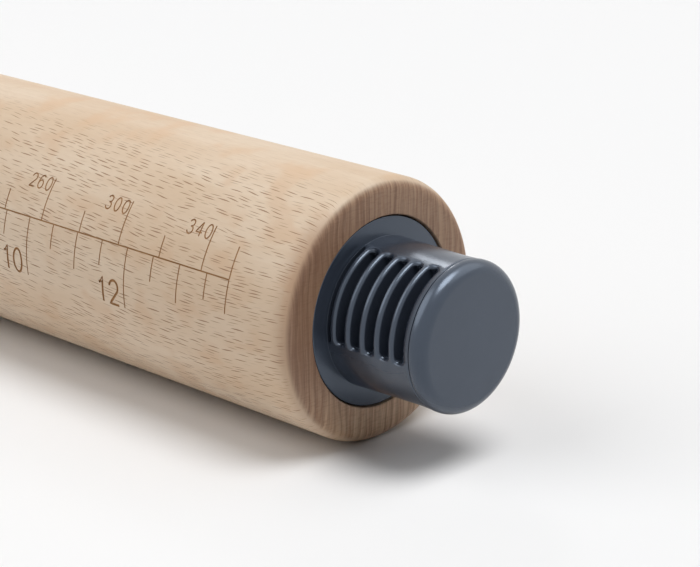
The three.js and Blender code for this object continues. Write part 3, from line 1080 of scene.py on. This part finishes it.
def steel_material():
    material, tree, shader = new_material("turned_steel", Metallic=1.0)
    place = place_in_mm(tree)
    feed = cell_noise(tree, place, STEEL_FEED_CELLS)
    stain = noise(tree, place, STEEL_STAIN_SCALE, detail=3.0)
    colour = mix_colour(tree, ramp_between(tree, stain, *STEEL_STAIN_RAMP), STEEL_DEEP, STEEL_PALE)
    connect(tree, shader, Base_Color=colour, Roughness=spread(tree, feed, *STEEL_ROUGHNESS),
            Normal=bump(tree, feed, **STEEL_BUMP))
    return material


def floor_material():
    material, _, _ = new_material(
        "pale_floor", Base_Color=FLOOR_SHADE, Roughness=FLOOR_ROUGHNESS, Specular_IOR_Level=0.0)
    return material


# Stage

def set_camera():
    camera_data = bpy.data.cameras.new("camera")
    camera = bpy.data.objects.new("camera", camera_data)
    bpy.context.scene.collection.objects.link(camera)
    camera_data.sensor_fit = "HORIZONTAL"
    camera_data.sensor_width = IMAGE_SENSOR
    camera_data.lens = CAMERA_LENS
    camera_data.clip_start = CAMERA_CLIP_START
    view = Vector((
        math.cos(CAMERA_PITCH) * math.cos(CAMERA_YAW),
        math.cos(CAMERA_PITCH) * math.sin(CAMERA_YAW),
        math.sin(CAMERA_PITCH)))
    camera.location = CAMERA_PLACE
    camera.rotation_euler = view.to_track_quat("-Z", "Y").to_euler()
    bpy.context.scene.camera = camera


def set_floor():
    deselect()
    bpy.ops.mesh.primitive_plane_add(size=FLOOR_SIZE, location=(0, 0, -BARREL_RADIUS))
    floor = bpy.context.object
    floor.name = "floor"
    paint(floor, floor_material())


def set_light():
    for name, lamp in LAMPS.items():
        data = bpy.data.lights.new(name, "SUN")
        data.energy = lamp["power"]
        data.angle = math.radians(lamp["spread"])
        source = bpy.data.objects.new(name, data)
        source.rotation_euler = (-Vector(lamp["from"])).to_track_quat("-Z", "Y").to_euler()
        bpy.context.scene.collection.objects.link(source)
    world = bpy.data.worlds.new("studio")
    world.use_nodes = True
    bpy.context.scene.world = world
    tree = world.node_tree
    rays = add_node(tree, "ShaderNodeLightPath").outputs
    seen = calc(tree, "MAXIMUM", rays["Is Camera Ray"], rays["Is Glossy Ray"])
    seen = calc(tree, "MAXIMUM", seen, rays["Is Transmission Ray"])
    strength = calc(
        tree, "MULTIPLY_ADD", seen, BACKDROP_STRENGTH - AMBIENT_STRENGTH, AMBIENT_STRENGTH)
    background = tree.nodes["Background"]
    background.inputs["Color"].default_value = BACKDROP_SHADE
    tree.links.new(strength, background.inputs["Strength"])


bpy.context.scene.view_settings.view_transform = "Standard"
set_camera()
set_floor()
set_light()

# Finishes
figure = beech_figure_group()
moulded = moulded_group()
beech = beech_material(figure)
burnt = burnt_material(figure)
knob_plastic = moulded_material(
    "knob_plastic", moulded, KNOB_VALUES, texture_depth=0.008 * MM,
    Specular_IOR_Level=0.95, Specular_Tint=(0.68, 0.81, 1, 1))
nylon = moulded_material("bearing_nylon", moulded, NYLON_VALUES, texture_depth=0.012 * MM)
rubber = moulded_material("seal_rubber", moulded, RUBBER_VALUES, texture_depth=0.02 * MM)
steel = steel_material()

# Barrel with its engraved scale
barrel = turn("beech_barrel", barrel_outline(), BARREL_SIDES)
paint(barrel, beech, burnt)
scale_line = mark(0, -SCALE_LINE_WIDTH / 2, SCALE_LINE_WIDTH / 2, 2 * SCALE_END, 1)
thicken(scale_line)
engrave(barrel, scale_line, burnt)
ticks = join(scale_ticks(), "scale_ticks")
thicken(ticks)
engrave(barrel, ticks, burnt)
for strokes in scale_numbers():
    engrave(barrel, stroke_tubes(strokes, "scale_numbers"), burnt)
smooth(barrel)
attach(barrel, "barrel")
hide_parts("barrel")

# One end, modelled once at the origin and copied to both ends of the barrel
knob = turn("knob", knob_outline(), KNOB_SIDES)
cut(knob, grip_cutter())
end_pieces = {
    "knob": (knob, knob_plastic, "knob", "knob_plastic"),
    "knob_cap": (turn("knob_cap", cap_outline(), KNOB_SIDES), knob_plastic, "knob", "knob_plastic"),
    "spindle": (turn("spindle", spindle_outline(), TURNED_SIDES), steel, "spindle", "turned_steel"),
    "o_ring_outer": (
        turn("o_ring_outer", o_ring_outline(O_RING_STATIONS["outer"]), TURNED_SIDES),
        rubber, "spindle", "seal_rubber"),
    "o_ring_inner": (
        turn("o_ring_inner", o_ring_outline(O_RING_STATIONS["inner"]), TURNED_SIDES),
        rubber, "spindle", "seal_rubber"),
    "thrust_washer": (
        turn("thrust_washer", washer_outline(), TURNED_SIDES), nylon, "spindle", "bearing_nylon"),
    "socket_liner": (
        turn("socket_liner", liner_outline(), TURNED_SIDES), nylon, "barrel", "bearing_nylon"),
}
for part, (piece, material, body, slot) in end_pieces.items():
    paint(piece, material)
    smooth(piece)
    for side, turned in (("right", 0), ("left", HALF_TURN)):
        placed = copy_of(piece, f"{side}_{part}_finish")
        placed.location.x = HALF_LENGTH if side == "right" else -HALF_LENGTH
        placed.rotation_euler.z = turned
        apply_place(placed)
        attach(placed, body if body == "barrel" else f"{side}_{body}")
        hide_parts(f"{side}_{part}")
    bpy.data.objects.remove(piece)

# The fastening inside each knob keeps its CAD shape
for side in ("right", "left"):
    paint(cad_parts[f"{side}_retaining_screw"], steel)
    paint(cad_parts[f"{side}_screw_washer"], steel)
    paint(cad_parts[f"{side}_bearing_bush"], nylon)
